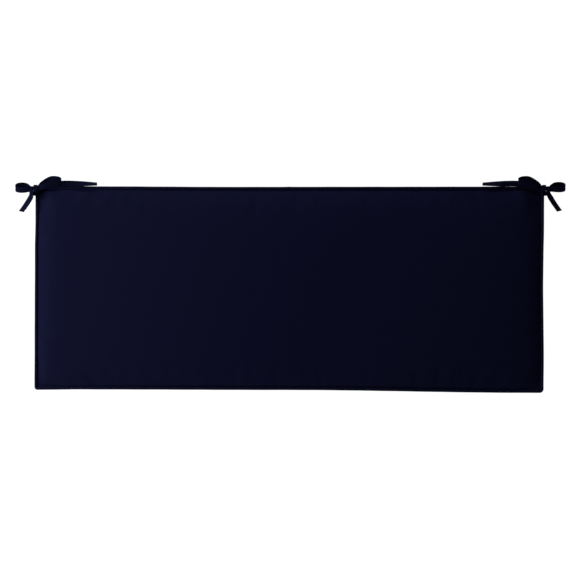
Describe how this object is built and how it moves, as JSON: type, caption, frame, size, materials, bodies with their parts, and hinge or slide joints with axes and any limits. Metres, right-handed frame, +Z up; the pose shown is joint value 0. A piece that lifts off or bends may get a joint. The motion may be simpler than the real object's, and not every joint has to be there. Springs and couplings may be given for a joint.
{
  "type": "bench cushion",
  "caption": "Long, thin welted box cushion for a bench seat, filled, with straps tied in a bow at the back corners.",
  "frame": {"origin": "centre of the footprint of the cushion and its welts, on the surface that it lies on", "axes": "+X along the cushion's length, +Y towards the back edge with the ties, +Z up out of the top panel"},
  "size_m": [1.2367, 0.4876, 0.0894],
  "materials": {
    "cover": "plain-woven navy canvas, matt",
    "welt": "the same canvas, bias-cut round a cord",
    "tie": "the same canvas, folded and stitched flat"
  },
  "bodies": {
    "root": {"cushion": "cover", "welt_top": "welt", "welt_bottom": "welt", "tie_left_outer": "tie", "tie_left_inner": "tie", "tie_right_outer": "tie", "tie_right_inner": "tie"}
  },
  "joints": []
}
